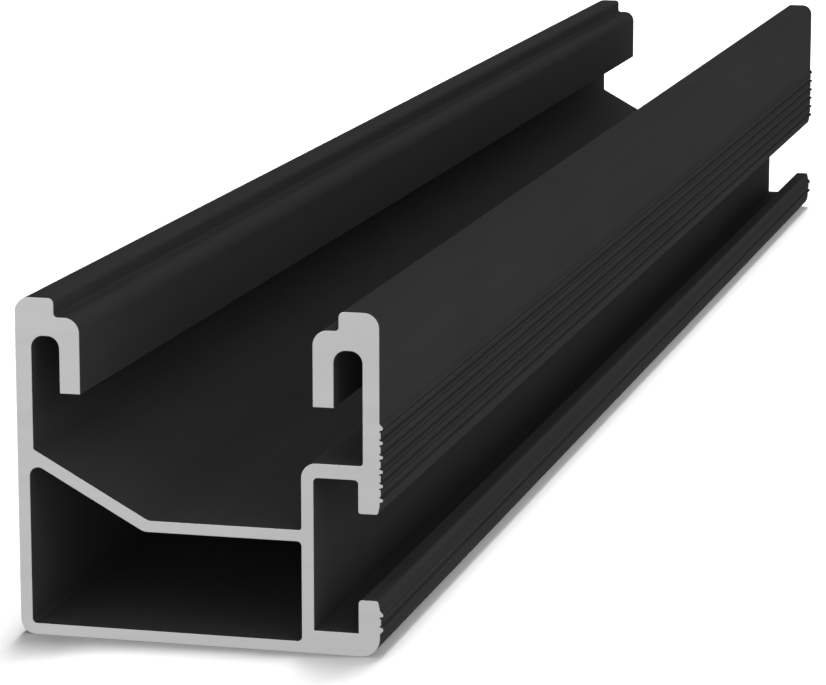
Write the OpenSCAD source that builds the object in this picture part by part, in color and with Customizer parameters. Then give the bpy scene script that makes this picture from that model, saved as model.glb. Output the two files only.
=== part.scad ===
// Mounting rail for solar panels: one aluminium extrusion, cut to length.
// The section has a wide channel on top between two hooked walls, a hollow chamber
// under it, a narrower channel in the right side, and grip teeth above and below that one.
// The section is drawn with x to the right and y up, its lower left corner at 0, 0,
// and then laid along Y, standing on its base.

/* [Rail] */
// Length of the cut piece
rail_length = 300; // [50:10:3000]
// Width across the two side walls, without the grip teeth
rail_width = 39; // [34:0.5:80]
// Height from the base to the lands on top
rail_height = 36; // [33:0.5:80]

/* [Walls] */
// Side walls beside the top channel
side_wall = 1.75; // [1.2:0.05:2.5]
// Left wall beside the chamber
chamber_wall = 1.3; // [0.8:0.05:2.5]
// Base under the chamber
base_wall = 1.2; // [0.8:0.05:2.5]
// Flat floor of the top channel
floor_wall = 1.2; // [0.8:0.05:2.5]
// Sloped floor of the top channel
slope_wall = 1.3; // [0.8:0.05:2.5]
// Upright web between the chamber and the side channel
web_wall = 1.3; // [0.8:0.05:2.5]
// Shelf over the side channel
shelf_wall = 1.5; // [0.8:0.05:2.5]

/* [Top channel] */
// Height of the flat floor above the base
floor_height = 13; // [10:0.25:17]
// Height of the shelf above the base
shelf_height = 20.1; // [18.5:0.1:22]
// Height above the base where the slope meets the left wall
slope_height = 19.9; // [17.5:0.1:22]
// Distance of the slope's foot from the left side
slope_foot = 14.2; // [10:0.1:18]
// Thickness of the lips that hang into the channel
lip_wall = 2.2; // [1.4:0.05:3]
// Width of the slot behind each lip
slot_width = 3.05; // [2.2:0.05:5]
// Metal between the slot and the step on top
slot_roof = 2; // [1:0.1:3]
// Length of each lip below the step
lip_length = 8; // [5:0.25:9]
// Width of the land on top of each wall
land_width = 4.25; // [3:0.05:5]
// Depth of the step from the land to the lip
step_depth = 2; // [1:0.1:3]

/* [Side channel] */
// Depth from the right side to the web
side_depth = 7; // [5:0.1:9]
// Thickness of the two lips
side_lip_wall = 2.25; // [1.5:0.05:3]
// Metal under the channel
side_floor = 2.45; // [1.2:0.05:3]
// Height of the mouth's lower edge above the base
mouth_height = 6; // [5.4:0.1:7]
// Height of the mouth between the lips
mouth_width = 9.1; // [6:0.1:10]
// How far the lips taper back at the mouth
lip_taper = 0.2; // [0.05:0.05:0.4]
// Length of that taper
lip_taper_length = 0.9; // [0.4:0.1:0.9]

/* [Grip teeth] */
// Distance from tooth to tooth, and from the mouth to its nearest teeth
tooth_pitch = 1.5; // [1.2:0.05:1.8]
// How far a tooth stands out
tooth_height = 0.35; // [0.2:0.05:0.8]
// Width of a tooth at its root
tooth_root = 0.5; // [0.45:0.05:0.6]
// Width of a tooth at its tip
tooth_tip = 0.25; // [0.2:0.05:0.4]
// How far the outermost flanks run out along the wall, from the middle of their tooth
tooth_runout = 0.5; // [0.35:0.05:0.5]
// Teeth above the mouth
upper_teeth = 6; // [1:1:9]
// Teeth below the mouth
lower_teeth = 2; // [1:1:2]
// How far the low rib between two teeth stands out
rib_height = 0.12; // [0.06:0.02:0.3]
// Gap between a tooth and the low rib beside it
rib_gap = 0.15; // [0.05:0.01:0.15]

/* [Rounding] */
// Outer edge of the lands and lower left edge of the base
outer_r = 1.6; // [0.5:0.1:2]
// Lower right edge of the base
base_right_r = 2; // [0.5:0.1:2.4]
// Inner edge of each land
land_r = 0.6; // [0.2:0.1:0.9]
// Foot of each step
step_r = 0.4; // [0.1:0.1:0.8]
// Edge between each step and its lip
lip_r = 1.6; // [0.5:0.1:1.8]
// Top of the slot behind each lip
slot_r = 1.3; // [0.5:0.1:1.4]
// Edge of the shelf over the web
shelf_r = 1.6; // [0.5:0.1:2.4]
// Corners inside the top channel
channel_r = 0.3; // [0.1:0.05:0.6]
// Square corners of the chamber
chamber_r = 0.5; // [0.2:0.05:1.2]
// Sharp corner of the chamber under the slope
peak_r = 0.95; // [0.4:0.05:1.5]
// Bend of the slope into the flat floor
bend_r = 1.5; // [0.5:0.1:3]
// Upper corners inside the side channel, and the inner edge of its lower lip
side_r = 0.45; // [0.1:0.05:0.8]
// Edges at the mouth of the side channel
mouth_r = 0.25; // [0.1:0.05:0.4]
// Tips of the grip teeth
tooth_r = 0.08; // [0.05:0.01:0.1]

/* [Hidden] */
$fn = 64;

// Heights above the base
step_height = rail_height - step_depth;
slot_top = step_height - slot_roof;
lip_tip = step_height - lip_length;
mouth_top = mouth_height + mouth_width;
// Distances from the left side
slot_outer = side_wall + slot_width;
lip_face = slot_outer + lip_wall;
web_right = rail_width - side_depth;
web_left = web_right - web_wall;
side_lip_face = rail_width - side_lip_wall;
// Overall width with the teeth, and how far a tooth is sunk into its wall
overall_width = rail_width + tooth_height;
tooth_sink = 0.3;

// The slope's top line, and the same line lowered by the thickness of the sloped floor
slope_start = [side_wall, slope_height];
slope_end = [slope_foot, floor_height];
slope_way = toward(slope_start, slope_end);
slope_under = slope_start + slope_wall * [slope_way.y, -slope_way.x];

function toward(p, q) = (q - p) / norm(q - p);

// Height of the sloped floor's underside at a distance x from the left side
function under_at(x) = slope_under.y + (x - slope_under.x) * slope_way.y / slope_way.x;

// Distance x from the left side where that underside comes down to a height y
function under_foot(y) = slope_under.x + (y - slope_under.y) * slope_way.x / slope_way.y;

// Outlines are lists of corners, counter-clockwise, each with its x, its y and its radius.

// The hook on top of the left wall, from the slot behind the lip round to the outer edge
hook = [
    [side_wall, slot_top, slot_r],
    [slot_outer, slot_top, slot_r],
    [slot_outer, lip_tip, 0],
    [lip_face, lip_tip, 0],
    [lip_face, step_height, lip_r],
    [land_width, step_height, step_r],
    [land_width, rail_height, land_r],
    [0, rail_height, outer_r],
];

// The same corners for the right wall, in the order that still runs counter-clockwise
opposite_hook = [
    for (i = [len(hook) - 1:-1:0]) [rail_width - hook[i].x, hook[i].y, hook[i].z]
];

// The channel in the right side, from the outside of its lower lip to that of its upper one
side_channel = [
    [rail_width, mouth_height - lip_taper_length, 0],
    [rail_width - lip_taper, mouth_height, mouth_r],
    [side_lip_face, mouth_height, side_r],
    [side_lip_face, side_floor, 0],
    [web_right, side_floor, 0],
    [web_right, shelf_height - shelf_wall, side_r],
    [side_lip_face, shelf_height - shelf_wall, side_r],
    [side_lip_face, mouth_top, mouth_r],
    [rail_width - lip_taper, mouth_top, mouth_r],
    [rail_width, mouth_top + lip_taper_length, 0],
];

// The bottom of the top channel: the shelf, the flat floor and the slope
trough = [
    [rail_width - side_wall, shelf_height, channel_r],
    [web_left, shelf_height, shelf_r],
    [web_left, floor_height, channel_r],
    [slope_end.x, slope_end.y, bend_r],
    [slope_start.x, slope_start.y, channel_r],
];

base = [
    [0, 0, outer_r],
    [rail_width, 0, base_right_r],
];

chamber = [
    [chamber_wall, base_wall, chamber_r],
    [web_left, base_wall, chamber_r],
    [web_left, floor_height - floor_wall, chamber_r],
    [under_foot(floor_height - floor_wall), floor_height - floor_wall, bend_r],
    [chamber_wall, under_at(chamber_wall), peak_r],
];

// A tooth on the right side, from the foot of its lower flank to that of its upper one,
// both measured from the middle of the tooth
function tooth(below, above) = [
    [-tooth_sink, -below, 0],
    [0, -below, 0],
    [tooth_height, -tooth_tip / 2, tooth_r],
    [tooth_height, tooth_tip / 2, tooth_r],
    [0, above, 0],
    [-tooth_sink, above, 0],
];

// The piece between the sharp corner p and the arc that rounds it
module corner_piece(p, before, after, r) {
    a = toward(p, before);
    b = toward(p, after);
    half_angle = acos(a * b) / 2;
    reach = r / tan(half_angle);
    centre = toward([0, 0], a + b) * r / sin(half_angle);
    translate(p)
        difference() {
            polygon([[0, 0], a * reach, centre, b * reach]);
            translate(centre) circle(r);
        }
}

// An outline with each corner rounded: outward corners are cut back, inward ones are filled
module rounded(corners) {
    n = len(corners);
    at = [for (c = corners) [c.x, c.y]];
    before = [for (i = [0:n - 1]) at[(i + n - 1) % n]];
    after = [for (i = [0:n - 1]) at[(i + 1) % n]];
    outward = [for (i = [0:n - 1]) cross(at[i] - before[i], after[i] - at[i]) > 0];
    difference() {
        union() {
            polygon(at);
            for (i = [0:n - 1])
                if (corners[i].z > 0 && !outward[i])
                    corner_piece(at[i], before[i], after[i], corners[i].z);
        }
        for (i = [0:n - 1])
            if (corners[i].z > 0 && outward[i])
                corner_piece(at[i], before[i], after[i], corners[i].z);
    }
}

// A row of teeth from the lowest one up, with a low rib in each space between two of them.
// The top tooth runs out along the wall, and below is the foot of the bottom one.
module teeth(first, count, below) {
    rib_width = tooth_pitch - tooth_root - 2 * rib_gap;
    for (i = [0:count - 1])
        translate([rail_width, first + i * tooth_pitch])
            rounded(tooth(i == 0 ? below : tooth_root / 2, i == count - 1 ? tooth_runout : tooth_root / 2));
    for (i = [1:1:count - 1])
        translate([rail_width - tooth_sink, first + (i - 0.5) * tooth_pitch - rib_width / 2])
            square([tooth_sink + rib_height, rib_width]);
}

module section() {
    difference() {
        rounded(concat(base, side_channel, opposite_hook, trough, hook));
        rounded(chamber);
    }
    teeth(mouth_top + tooth_pitch, upper_teeth, tooth_root / 2);
    teeth(mouth_height - lower_teeth * tooth_pitch, lower_teeth, tooth_runout);
}

module rail() {
    color([0.13, 0.13, 0.135])
        translate([-overall_width / 2, rail_length / 2, 0])
            rotate([90, 0, 0])
                linear_extrude(rail_length) section();
}

rail();
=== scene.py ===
import math
from types import SimpleNamespace

import bmesh
import bpy
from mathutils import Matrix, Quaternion, Vector


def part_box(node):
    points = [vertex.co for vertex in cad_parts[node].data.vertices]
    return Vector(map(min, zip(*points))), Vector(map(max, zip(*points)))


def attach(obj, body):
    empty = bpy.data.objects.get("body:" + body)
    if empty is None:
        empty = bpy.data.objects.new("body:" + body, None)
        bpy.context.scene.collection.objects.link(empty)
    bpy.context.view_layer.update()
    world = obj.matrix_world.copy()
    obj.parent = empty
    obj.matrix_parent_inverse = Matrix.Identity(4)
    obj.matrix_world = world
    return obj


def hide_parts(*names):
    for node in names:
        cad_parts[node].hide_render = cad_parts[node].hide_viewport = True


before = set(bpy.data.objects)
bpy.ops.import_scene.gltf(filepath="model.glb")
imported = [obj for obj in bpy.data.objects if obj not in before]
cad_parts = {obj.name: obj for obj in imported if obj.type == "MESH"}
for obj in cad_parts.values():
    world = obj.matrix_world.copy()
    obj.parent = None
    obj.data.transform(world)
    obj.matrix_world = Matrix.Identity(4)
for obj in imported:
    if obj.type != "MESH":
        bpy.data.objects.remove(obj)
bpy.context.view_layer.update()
print("frame loaded:", sorted(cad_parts))

mm = 0.001
sameSpot = 0.001 * mm  # points nearer to each other than this are one point

cameraView = {
    "place": (0.11416, -0.50865, 0.10681),
    "aim": (-0.01841, 0.01211, -0.00005),
    "rollDegrees": -0.04,
    "lens": 163.25,
    "sensorWidth": 36.0,
    "clipStart": 0.01,
}


def addCamera(view):
    bpy.ops.object.camera_add(location=view["place"])
    camera = bpy.context.object
    camera.name = "photoCamera"
    camera.data.lens = view["lens"]
    camera.data.sensor_width = view["sensorWidth"]
    camera.data.clip_start = view["clipStart"]
    look = Vector(view["aim"]) - Vector(view["place"])
    turn = look.to_track_quat("-Z", "Y") @ Quaternion((0, 0, 1), math.radians(view["rollDegrees"]))
    camera.rotation_euler = turn.to_euler()
    bpy.context.scene.camera = camera
    print("camera placed, lens", view["lens"], "mm")


def nodeIn(tree, kind, place, **values):
    # a name that the node itself doesn't have is one of its inputs, with _ for each space
    node = tree.nodes.new(kind)
    node.location = place
    for name, value in values.items():
        if hasattr(node, name):
            setattr(node, name, value)
        else:
            node.inputs[name.replace("_", " ")].default_value = value
    return node


stageLook = {
    "floorSize": 8.0,
    "floorDrop": 0.00002,  # keeps the floor clear of the rail's underside
    "floorColour": 0.45,
    "background": (1, 1, 1, 1),
    "skyColour": (1, 1, 1, 1),
    "skyLevel": 0.8,
    "floorGlow": 0.86,  # the white floor sends up a little more light than the sky sends down
    "horizonBlend": 0.1,
}

# the level of a lamp is how bright it makes a surface that faces it
floorLamps = {  # only the floor sees these, and the rail throws its shadow in them
    "overhead": {
        "place": (-0.12, 0.88, 6.0), "size": (0.80, 1.90), "level": 0.52, "shinesOn": "diffuse"},
    "fromBehind": {
        "place": (0.15, 2.2, 5.0), "size": (1.4, 1.4), "level": 0.42, "shinesOn": "diffuse"},
    "fromRight": {
        "place": (2.5, 0.3, 1.2), "size": (0.5, 0.5), "level": 0.40, "shinesOn": "diffuse"},
}

railLamps = {  # only the rail sees these
    "frontFill": {
        "place": (0.10, -1.00, 0.10), "size": (0.4, 0.4), "level": 0.26, "shinesOn": "diffuse"},
    "upperRight": {
        "place": (0.5, -0.4, 0.33), "size": (0.3, 0.3), "level": 0.08, "shinesOn": "diffuse"},
    "endFaceLamp": {
        "place": (-0.25, -0.42, 0.28), "size": (0.15, 0.15), "level": 0.58, "shinesOn": "glossy"},
}


def setWorld(look):
    world = bpy.data.worlds.new("whiteStudio")
    world.use_nodes = True
    bpy.context.scene.world = world
    tree = world.node_tree
    links = tree.links
    tree.nodes.clear()
    path = nodeIn(tree, "ShaderNodeLightPath", (-1000, 400))
    seen = nodeIn(tree, "ShaderNodeMath", (-800, 400), operation="MAXIMUM")
    links.new(path.outputs["Is Camera Ray"], seen.inputs[0])
    links.new(path.outputs["Is Glossy Ray"], seen.inputs[1])
    seenThrough = nodeIn(tree, "ShaderNodeMath", (-600, 400), operation="MAXIMUM")
    links.new(seen.outputs[0], seenThrough.inputs[0])
    links.new(path.outputs["Is Transmission Ray"], seenThrough.inputs[1])
    direction = nodeIn(tree, "ShaderNodeTexCoord", (-1000, 0))
    height = nodeIn(tree, "ShaderNodeSeparateXYZ", (-800, 0))
    links.new(direction.outputs["Generated"], height.inputs[0])
    level = mapRange(tree, height.outputs["Z"], (-look["horizonBlend"], look["horizonBlend"]),
                     (look["floorGlow"], look["skyLevel"]), (-600, 0))
    light = nodeIn(tree, "ShaderNodeBackground", (-400, 100), Color=look["skyColour"])
    links.new(level, light.inputs["Strength"])
    backdrop = nodeIn(tree, "ShaderNodeBackground", (-400, -100), Color=look["background"])
    mix = nodeIn(tree, "ShaderNodeMixShader", (-200, 0))
    links.new(seenThrough.outputs[0], mix.inputs[0])
    links.new(light.outputs[0], mix.inputs[1])
    links.new(backdrop.outputs[0], mix.inputs[2])
    out = nodeIn(tree, "ShaderNodeOutputWorld", (0, 0))
    links.new(mix.outputs[0], out.inputs["Surface"])


def addFloor(look):
    bpy.ops.mesh.primitive_plane_add(size=look["floorSize"], location=(0, 0, -look["floorDrop"]))
    floor = bpy.context.object
    floor.name = "floor"
    material = bpy.data.materials.new("whiteFloor")
    material.use_nodes = True
    tree = material.node_tree
    links = tree.links
    tree.nodes.clear()
    paint = nodeIn(tree, "ShaderNodeBsdfDiffuse", (-400, 0), Color=(look["floorColour"],) * 3 + (1,))
    clear = nodeIn(tree, "ShaderNodeBsdfTransparent", (-400, -200))
    geometry = nodeIn(tree, "ShaderNodeNewGeometry", (-400, 300))
    mix = nodeIn(tree, "ShaderNodeMixShader", (-200, 0))  # clear from below, to show the underside
    links.new(geometry.outputs["Backfacing"], mix.inputs[0])
    links.new(paint.outputs[0], mix.inputs[1])
    links.new(clear.outputs[0], mix.inputs[2])
    out = nodeIn(tree, "ShaderNodeOutputMaterial", (0, 0))
    links.new(mix.outputs[0], out.inputs["Surface"])
    floor.data.materials.append(material)
    floor.visible_diffuse = False  # the sky under it lights the rail as a white floor would
    floor.visible_shadow = False
    floor.visible_glossy = False
    return floor


def addLamps(lamps, piece, target, colour):
    lit = bpy.data.collections.new(piece.name + "Only")
    lit.objects.link(piece)
    for name, lamp in lamps.items():
        away = target - Vector(lamp["place"])
        bpy.ops.object.light_add(type="AREA", location=lamp["place"])
        light = bpy.context.object
        light.name = name
        light.rotation_euler = away.to_track_quat("-Z", "Y").to_euler()
        light.data.shape = "RECTANGLE"
        light.data.size, light.data.size_y = lamp["size"]
        light.data.energy = lamp["level"] / colour * (math.pi * away.length) ** 2
        light.visible_camera = False
        light.visible_diffuse = "diffuse" in lamp["shinesOn"]
        light.visible_glossy = "glossy" in lamp["shinesOn"]
        light.light_linking.receiver_collection = lit


noiseRange = (0.3, 0.7)  # most of a noise texture's values lie between these


def mapRange(tree, source, span, result, place):
    node = nodeIn(tree, "ShaderNodeMapRange", place, From_Min=span[0], From_Max=span[1],
                  To_Min=result[0], To_Max=result[1])
    tree.links.new(source, node.inputs["Value"])
    return node.outputs["Result"]


def makeGroup(name, inputs, outputs):
    group = bpy.data.node_groups.new(name, "ShaderNodeTree")
    for label, kind in inputs:
        group.interface.new_socket(name=label, in_out="INPUT", socket_type=kind)
    for label in outputs:
        group.interface.new_socket(name=label, in_out="OUTPUT", socket_type="NodeSocketFloat")
    return group, nodeIn(group, "NodeGroupInput", (0, 0)), nodeIn(group, "NodeGroupOutput", (950, 0))


def placeGroup(tree, group, place, values):
    node = nodeIn(tree, "ShaderNodeGroup", place, node_tree=group)
    for name, value in values.items():
        node.inputs[name].default_value = value
    return node


def makeDieLines(broadScale=0.16):
    # fine lines along Y that the die leaves on an extrusion, and broad streaks among them
    group, given, result = makeGroup(
        "dieLines",
        [("Vector", "NodeSocketVector"), ("Lines Across", "NodeSocketFloat"),
         ("Lines Along", "NodeSocketFloat")],
        ["Height", "Streaks"],
    )
    links = group.links
    stretch = nodeIn(group, "ShaderNodeCombineXYZ", (150, 200))
    links.new(given.outputs["Lines Across"], stretch.inputs["X"])
    links.new(given.outputs["Lines Along"], stretch.inputs["Y"])
    links.new(given.outputs["Lines Across"], stretch.inputs["Z"])
    scaled = nodeIn(group, "ShaderNodeVectorMath", (300, 100), operation="MULTIPLY")
    links.new(given.outputs["Vector"], scaled.inputs[0])
    links.new(stretch.outputs[0], scaled.inputs[1])
    fine = nodeIn(group, "ShaderNodeTexNoise", (500, 200), Scale=1.0, Detail=2.0, Roughness=0.6)
    links.new(scaled.outputs[0], fine.inputs["Vector"])
    broad = nodeIn(group, "ShaderNodeTexNoise", (500, -100), Scale=broadScale, Detail=3.0,
                   Roughness=0.55)
    links.new(scaled.outputs[0], broad.inputs["Vector"])
    links.new(fine.outputs["Fac"], result.inputs["Height"])
    links.new(broad.outputs["Fac"], result.inputs["Streaks"])
    return group


def makeEtchGrain(cloudScale=60.0):
    # the matte grain of an etched surface, the same in every direction, and faint clouds in it
    group, given, result = makeGroup(
        "etchGrain",
        [("Vector", "NodeSocketVector"), ("Grain Scale", "NodeSocketFloat")],
        ["Height", "Clouds"],
    )
    links = group.links
    grain = nodeIn(group, "ShaderNodeTexNoise", (300, 100), Detail=2.0, Roughness=0.5)
    links.new(given.outputs["Vector"], grain.inputs["Vector"])
    links.new(given.outputs["Grain Scale"], grain.inputs["Scale"])
    clouds = nodeIn(group, "ShaderNodeTexNoise", (300, -200), Scale=cloudScale, Detail=3.0,
                    Roughness=0.5)
    links.new(given.outputs["Vector"], clouds.inputs["Vector"])
    links.new(grain.outputs["Fac"], result.inputs["Height"])
    links.new(clouds.outputs["Fac"], result.inputs["Clouds"])
    return group


def makeSawMarks(broadScale=0.2, wanderScale=40.0):
    # shallow arcs that the saw blade leaves across a cut end, and broad bands among them
    group, given, result = makeGroup(
        "sawMarks",
        [("Vector", "NodeSocketVector"), ("Blade Centre", "NodeSocketVector"),
         ("Marks", "NodeSocketFloat")],
        ["Height", "Bands"],
    )
    links = group.links
    flat = nodeIn(group, "ShaderNodeVectorMath", (150, 100), operation="MULTIPLY")
    flat.inputs[1].default_value = (1, 0, 1)
    links.new(given.outputs["Vector"], flat.inputs[0])
    reach = nodeIn(group, "ShaderNodeVectorMath", (300, 100), operation="DISTANCE")
    links.new(flat.outputs[0], reach.inputs[0])
    links.new(given.outputs["Blade Centre"], reach.inputs[1])
    spread = nodeIn(group, "ShaderNodeMath", (450, 100), operation="MULTIPLY")
    links.new(reach.outputs["Value"], spread.inputs[0])
    links.new(given.outputs["Marks"], spread.inputs[1])
    across = nodeIn(group, "ShaderNodeSeparateXYZ", (300, -150))
    links.new(given.outputs["Vector"], across.inputs[0])
    wander = nodeIn(group, "ShaderNodeMath", (450, -150), operation="MULTIPLY")
    wander.inputs[1].default_value = wanderScale
    links.new(across.outputs["X"], wander.inputs[0])
    place = nodeIn(group, "ShaderNodeCombineXYZ", (600, 100))
    links.new(spread.outputs[0], place.inputs["X"])
    links.new(wander.outputs[0], place.inputs["Y"])
    fine = nodeIn(group, "ShaderNodeTexNoise", (750, 200), Scale=1.0, Detail=2.0, Roughness=0.6)
    links.new(place.outputs[0], fine.inputs["Vector"])
    broad = nodeIn(group, "ShaderNodeTexNoise", (750, -100), Scale=broadScale, Detail=2.0,
                   Roughness=0.5)
    links.new(place.outputs[0], broad.inputs["Vector"])
    links.new(fine.outputs["Fac"], result.inputs["Height"])
    links.new(broad.outputs["Fac"], result.inputs["Bands"])
    return group


def newMaterial(name):
    material = bpy.data.materials.new(name)
    material.use_nodes = True
    tree = material.node_tree
    return material, tree, tree.nodes["Principled BSDF"], nodeIn(tree, "ShaderNodeTexCoord", (-1400, 0))


def tint(tree, shader, mask, dark, light, roughness):
    # colour and roughness both follow the mask
    colour = nodeIn(tree, "ShaderNodeMix", (-400, 250), data_type="RGBA", A=dark, B=light)
    tree.links.new(mapRange(tree, mask, noiseRange, (0, 1), (-650, 250)), colour.inputs["Factor"])
    tree.links.new(colour.outputs["Result"], shader.inputs["Base Color"])
    tree.links.new(mapRange(tree, mask, noiseRange, roughness, (-650, 0)), shader.inputs["Roughness"])


def addBumps(tree, shader, grain, grainDepth, marks, markDepth):
    # the grain lies under the coarser marks
    grainBump = nodeIn(tree, "ShaderNodeBump", (-450, -250), Distance=grainDepth)
    tree.links.new(grain, grainBump.inputs["Height"])
    markBump = nodeIn(tree, "ShaderNodeBump", (-200, -250), Distance=markDepth)
    tree.links.new(marks, markBump.inputs["Height"])
    tree.links.new(grainBump.outputs["Normal"], markBump.inputs["Normal"])
    tree.links.new(markBump.outputs["Normal"], shader.inputs["Normal"])


anodisedLook = {
    "darkGrey": (0.0305, 0.0305, 0.0309, 1),
    "lightGrey": (0.0360, 0.0360, 0.0365, 1),
    "roughness": (0.62, 0.72),
    "specularLevel": 0.0005,
    "linesAcross": 2200.0,
    "linesAlong": 2.5,
    "lineDepth": 0.000012,
    "grainScale": 7000.0,
    "grainDepth": 0.000004,
    "streakShare": 0.6,
    "cloudShare": 0.4,
}


def makeBlackAnodised(look, dieLines, etchGrain):
    material, tree, shader, place = newMaterial("blackAnodised")
    links = tree.links
    shader.inputs["Specular IOR Level"].default_value = look["specularLevel"]
    lines = placeGroup(tree, dieLines, (-1150, 150),
                       {"Lines Across": look["linesAcross"], "Lines Along": look["linesAlong"]})
    grain = placeGroup(tree, etchGrain, (-1150, -150), {"Grain Scale": look["grainScale"]})
    for node in (lines, grain):
        links.new(place.outputs["Object"], node.inputs["Vector"])
    clouds = nodeIn(tree, "ShaderNodeMath", (-900, -100), operation="MULTIPLY")
    clouds.inputs[1].default_value = look["cloudShare"]
    links.new(grain.outputs["Clouds"], clouds.inputs[0])
    blend = nodeIn(tree, "ShaderNodeMath", (-900, 100), operation="MULTIPLY_ADD")
    blend.inputs[1].default_value = look["streakShare"]
    links.new(lines.outputs["Streaks"], blend.inputs[0])
    links.new(clouds.outputs[0], blend.inputs[2])
    tint(tree, shader, blend.outputs[0], look["darkGrey"], look["lightGrey"], look["roughness"])
    addBumps(tree, shader, grain.outputs["Height"], look["grainDepth"],
             lines.outputs["Height"], look["lineDepth"])
    return material


sawnLook = {
    "darkMetal": (0.45, 0.45, 0.45, 1),
    "lightMetal": (0.51, 0.51, 0.51, 1),
    "roughness": (0.64, 0.76),
    "bladeCentre": (0.012, 0.0, -0.165),
    "marks": 2400.0,
    "markDepth": 0.000006,
    "grainScale": 9000.0,
    "grainDepth": 0.000004,
}


def makeSawnAluminium(look, sawMarks, etchGrain):
    material, tree, shader, place = newMaterial("sawnAluminium")
    shader.inputs["Metallic"].default_value = 1.0
    marks = placeGroup(tree, sawMarks, (-1150, 150),
                       {"Blade Centre": look["bladeCentre"], "Marks": look["marks"]})
    grain = placeGroup(tree, etchGrain, (-1150, -150), {"Grain Scale": look["grainScale"]})
    for node in (marks, grain):
        tree.links.new(place.outputs["Object"], node.inputs["Vector"])
    tint(tree, shader, marks.outputs["Bands"], look["darkMetal"], look["lightMetal"], look["roughness"])
    addBumps(tree, shader, grain.outputs["Height"], look["grainDepth"],
             marks.outputs["Height"], look["markDepth"])
    return material


railSize = {  # the section, in millimetres
    "sideWall": 1.75,
    "chamberWall": 1.3,
    "baseWall": 1.2,
    "floorWall": 1.2,
    "slopeWall": 1.3,
    "webWall": 1.3,
    "shelfWall": 1.5,
    "floorHeight": 13.0,
    "shelfHeight": 20.1,
    "slopeHeight": 19.9,
    "slopeFoot": 14.2,
    "lipWall": 2.2,
    "slotWidth": 3.05,
    "slotRoof": 2.0,
    "lipLength": 8.0,
    "landWidth": 4.25,
    "stepDepth": 2.0,
    "sideDepth": 7.0,
    "sideLipWall": 2.25,
    "sideFloor": 2.45,
    "mouthHeight": 6.0,
    "mouthWidth": 9.1,
    "lipTaper": 0.2,
    "lipTaperLength": 0.9,
    "toothPitch": 1.5,
    "toothHeight": 0.35,
    "toothRoot": 0.5,
    "toothTip": 0.25,
    "toothRunout": 0.5,
    "upperTeeth": 6,
    "lowerTeeth": 2,
    "ribHeight": 0.12,
    "ribGap": 0.15,
}

railRounding = {  # radii in millimetres, and how finely they are drawn
    "outer": 1.6,
    "baseRight": 2.0,
    "land": 0.6,
    "step": 0.4,
    "lip": 1.6,
    "slot": 1.3,
    "shelf": 1.6,
    "channel": 0.3,
    "chamber": 0.5,
    "peak": 0.95,
    "bend": 1.5,
    "side": 0.45,
    "mouth": 0.25,
    "tooth": 0.08,
    "degreesPerSegment": 9.0,
    "fewestSegments": 3,
    "smoothDegrees": 25.0,  # edges sharper than this stay sharp
}

sawnEnds = {
    "rim": 0.045,  # how far the edge of a cut is broken, in millimetres
    "steps": ((0.3, 0.7), (0.7, 0.3)),  # shares of that by which each inset goes inward and outward
    "flatFacing": 0.99,  # least share of a normal along Y on the flat of a cut
    "bareFacing": 0.2,  # and on any bare face, the broken edge too
}


def upright(corners):
    return [Vector((x * mm, 0, z * mm)) for x, z, _ in corners]


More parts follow.
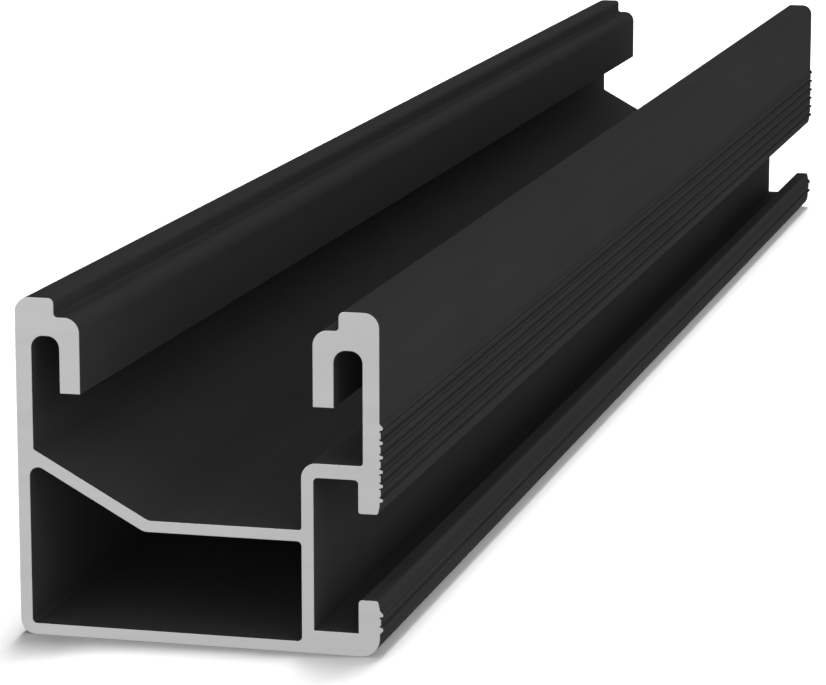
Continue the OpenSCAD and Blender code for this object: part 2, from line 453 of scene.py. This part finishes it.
def sectionCorners(size, radii, width, height):
    s = SimpleNamespace(**size)
    r = SimpleNamespace(**radii)
    stepHeight = height - s.stepDepth
    slotTop = stepHeight - s.slotRoof
    lipTip = stepHeight - s.lipLength
    slotOuter = s.sideWall + s.slotWidth
    lipFace = slotOuter + s.lipWall
    webRight = width - s.sideDepth
    webLeft = webRight - s.webWall
    sideLipFace = width - s.sideLipWall
    mouthTop = s.mouthHeight + s.mouthWidth
    # hook on the left wall, from the slot behind its lip round to the outer edge
    hook = [
        (s.sideWall, slotTop, r.slot),
        (slotOuter, slotTop, r.slot),
        (slotOuter, lipTip, 0),
        (lipFace, lipTip, 0),
        (lipFace, stepHeight, r.lip),
        (s.landWidth, stepHeight, r.step),
        (s.landWidth, height, r.land),
        (0, height, r.outer),
    ]
    oppositeHook = [(width - x, z, radius) for x, z, radius in reversed(hook)]
    # channel in the right side, from the outside of its lower lip to that of its upper one
    lowerLip = [
        (width, s.mouthHeight - s.lipTaperLength, 0),
        (width - s.lipTaper, s.mouthHeight, r.mouth),
        (sideLipFace, s.mouthHeight, r.side),
        (sideLipFace, s.sideFloor, 0),
        (webRight, s.sideFloor, 0),
    ]
    upperLip = [
        (webRight, s.shelfHeight - s.shelfWall, r.side),
        (sideLipFace, s.shelfHeight - s.shelfWall, r.side),
        (sideLipFace, mouthTop, r.mouth),
        (width - s.lipTaper, mouthTop, r.mouth),
        (width, mouthTop + s.lipTaperLength, 0),
    ]
    lowerFirst = s.mouthHeight - s.lowerTeeth * s.toothPitch
    lowerTeeth = toothCorners(s, r.tooth, width, lowerFirst, s.lowerTeeth, s.toothRunout)
    upperTeeth = toothCorners(s, r.tooth, width, mouthTop + s.toothPitch, s.upperTeeth, s.toothRoot / 2)
    # bottom of the top channel: shelf, flat floor and slope
    trough = [
        (width - s.sideWall, s.shelfHeight, r.channel),
        (webLeft, s.shelfHeight, r.shelf),
        (webLeft, s.floorHeight, r.channel),
        (s.slopeFoot, s.floorHeight, r.bend),
        (s.sideWall, s.slopeHeight, r.channel),
    ]
    base = [(0, 0, r.outer), (width, 0, r.baseRight)]
    outer = base + lowerTeeth + lowerLip + upperLip + upperTeeth + oppositeHook + trough + hook
    # underside of the slope, parallel to its top
    start = Vector((s.sideWall, s.slopeHeight))
    way = (Vector((s.slopeFoot, s.floorHeight)) - start).normalized()
    under = start + s.slopeWall * Vector((way.y, -way.x))
    underAt = under.y + (s.chamberWall - under.x) * way.y / way.x
    chamberTop = s.floorHeight - s.floorWall
    underFoot = under.x + (chamberTop - under.y) * way.x / way.y
    chamber = [
        (s.chamberWall, s.baseWall, r.chamber),
        (webLeft, s.baseWall, r.chamber),
        (webLeft, chamberTop, r.chamber),
        (underFoot, chamberTop, r.bend),
        (s.chamberWall, underAt, r.peak),
    ]
    return outer, chamber


def toothCorners(s, tipRadius, width, first, count, lowestFoot):
    # grip teeth up the right side, with a low rib in each space between two of them
    corners = []
    ribHalf = (s.toothPitch - s.toothRoot) / 2 - s.ribGap
    for i in range(count):
        z = first + i * s.toothPitch
        below = lowestFoot if i == 0 else s.toothRoot / 2
        above = s.toothRunout if i == count - 1 else s.toothRoot / 2
        corners.append((width, z - below, 0))
        corners.append((width + s.toothHeight, z - s.toothTip / 2, tipRadius))
        corners.append((width + s.toothHeight, z + s.toothTip / 2, tipRadius))
        corners.append((width, z + above, 0))
        if i < count - 1:
            ribMiddle = z + s.toothPitch / 2
            corners.append((width, ribMiddle - ribHalf, 0))
            corners.append((width + s.ribHeight, ribMiddle - ribHalf, 0))
            corners.append((width + s.ribHeight, ribMiddle + ribHalf, 0))
            corners.append((width, ribMiddle + ribHalf, 0))
    return corners


def selectOnly(piece, wanted, kind="verts"):
    mesh = bmesh.from_edit_mesh(piece.data)
    for part in mesh.verts[:] + mesh.edges[:] + mesh.faces[:]:
        part.select_set(False)
    for part in getattr(mesh, kind):
        if wanted(part):
            part.select_set(True)
    bmesh.update_edit_mesh(piece.data)


def startVertex(name, place):
    # a plane merged to one vertex, which the outline is then extruded from
    bpy.ops.object.select_all(action="DESELECT")
    bpy.ops.mesh.primitive_plane_add(size=mm, location=(0, 0, 0))
    piece = bpy.context.object
    piece.name = name
    bpy.ops.object.mode_set(mode="EDIT")
    bpy.ops.mesh.select_mode(type="VERT")
    bpy.ops.mesh.select_all(action="SELECT")
    bpy.ops.mesh.merge(type="CENTER")
    bpy.ops.transform.translate(value=place)
    return piece


def drawOutline(name, corners, rounding):
    points = upright(corners)
    piece = startVertex(name, points[0])
    for before, point in zip(points, points[1:]):
        bpy.ops.mesh.extrude_region_move(TRANSFORM_OT_translate={"value": point - before})
    bpy.ops.mesh.select_all(action="SELECT")
    bpy.ops.mesh.edge_face_add()
    for i, (_, _, radius) in enumerate(corners):
        if radius:
            after = points[(i + 1) % len(points)]
            roundCorner(piece, points[i - 1], points[i], after, radius * mm, rounding)
    bpy.ops.object.mode_set(mode="OBJECT")
    return piece


def roundCorner(piece, before, corner, after, radius, rounding):
    half = (before - corner).angle(after - corner) / 2
    reach = radius / math.tan(half)
    # the bevel profile whose middle lies on the circle, whatever the corner's angle
    profile = ((1 + 2 * math.sin(half)) / (2 + 2 * math.sin(half))) ** 2
    turn = math.degrees(math.pi - 2 * half)
    segments = max(rounding["fewestSegments"], round(turn / rounding["degreesPerSegment"]))
    selectOnly(piece, lambda v: (v.co - corner).length < sameSpot)
    bpy.ops.mesh.bevel(offset_type="OFFSET", offset=reach, segments=segments, profile=profile,
                       affect="VERTICES", clamp_overlap=False)


def buildRail(size, rounding, ends):
    low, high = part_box("rail")
    width = (high.x - low.x) / mm - size["toothHeight"]
    height = (high.z - low.z) / mm
    length = high.y - low.y
    outer, chamber = sectionCorners(size, rounding, width, height)
    rail = drawOutline("railExtrusion", outer, rounding)
    hole = drawOutline("chamberOutline", chamber, rounding)
    print("section drawn:", len(rail.data.vertices), "points round the outside,",
          len(hole.data.vertices), "round the chamber")

    # the two outlines become one face with a hole, and that is pushed out along Y
    bpy.ops.object.select_all(action="DESELECT")
    hole.select_set(True)
    rail.select_set(True)
    bpy.context.view_layer.objects.active = rail
    bpy.ops.object.join()
    bpy.ops.object.mode_set(mode="EDIT")
    bpy.ops.mesh.select_all(action="SELECT")
    bpy.ops.mesh.delete(type="ONLY_FACE")
    bpy.ops.mesh.select_all(action="SELECT")
    bpy.ops.mesh.fill(use_beauty=True)
    bpy.ops.mesh.select_all(action="SELECT")
    rim = ends["rim"] * mm
    bpy.ops.transform.translate(value=(low.x, low.y + rim, low.z))
    bpy.ops.mesh.extrude_region_move(TRANSFORM_OT_translate={"value": (0, length - 2 * rim, 0)})
    bpy.ops.mesh.select_all(action="SELECT")
    bpy.ops.mesh.normals_make_consistent(inside=False)

    # both sawn ends are drawn in a little at their rim, as the burr is taken off
    selectOnly(rail, lambda face: abs(face.normal.y) > ends["flatFacing"], "faces")
    for inward, outward in ends["steps"]:
        bpy.ops.mesh.inset(thickness=inward * rim, depth=outward * rim, use_even_offset=True)
    bpy.ops.object.mode_set(mode="OBJECT")
    bpy.ops.object.shade_smooth_by_angle(angle=math.radians(rounding["smoothDegrees"]))
    for face in rail.data.polygons:
        if abs(face.normal.y) > ends["flatFacing"]:
            face.use_smooth = False
    print("rail extruded:", len(rail.data.polygons), "faces,", round(length, 4), "m long")
    return rail


def dressRail(rail, anodised, sawn, ends):
    rail.data.materials.clear()
    rail.data.materials.append(anodised)
    rail.data.materials.append(sawn)
    for face in rail.data.polygons:
        face.material_index = 1 if abs(face.normal.y) > ends["bareFacing"] else 0


addCamera(cameraView)
setWorld(stageLook)
floor = addFloor(stageLook)
addLamps(floorLamps, floor, Vector((0, 0, 0)), stageLook["floorColour"])
print("stage set")

dieLines = makeDieLines()
etchGrain = makeEtchGrain()
sawMarks = makeSawMarks()
blackAnodised = makeBlackAnodised(anodisedLook, dieLines, etchGrain)
sawnAluminium = makeSawnAluminium(sawnLook, sawMarks, etchGrain)
print("materials made")

rail = buildRail(railSize, railRounding, sawnEnds)
dressRail(rail, blackAnodised, sawnAluminium, sawnEnds)
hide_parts("rail")
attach(rail, "root")

railLow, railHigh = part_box("rail")
nearEnd = Vector((0, railLow.y, (railLow.z + railHigh.z) / 2))
addLamps(railLamps, rail, nearEnd, 1.0)  # their level is set for a white surface
print("lamps set on the rail")

scene = bpy.context.scene
scene.view_settings.view_transform = "Standard"
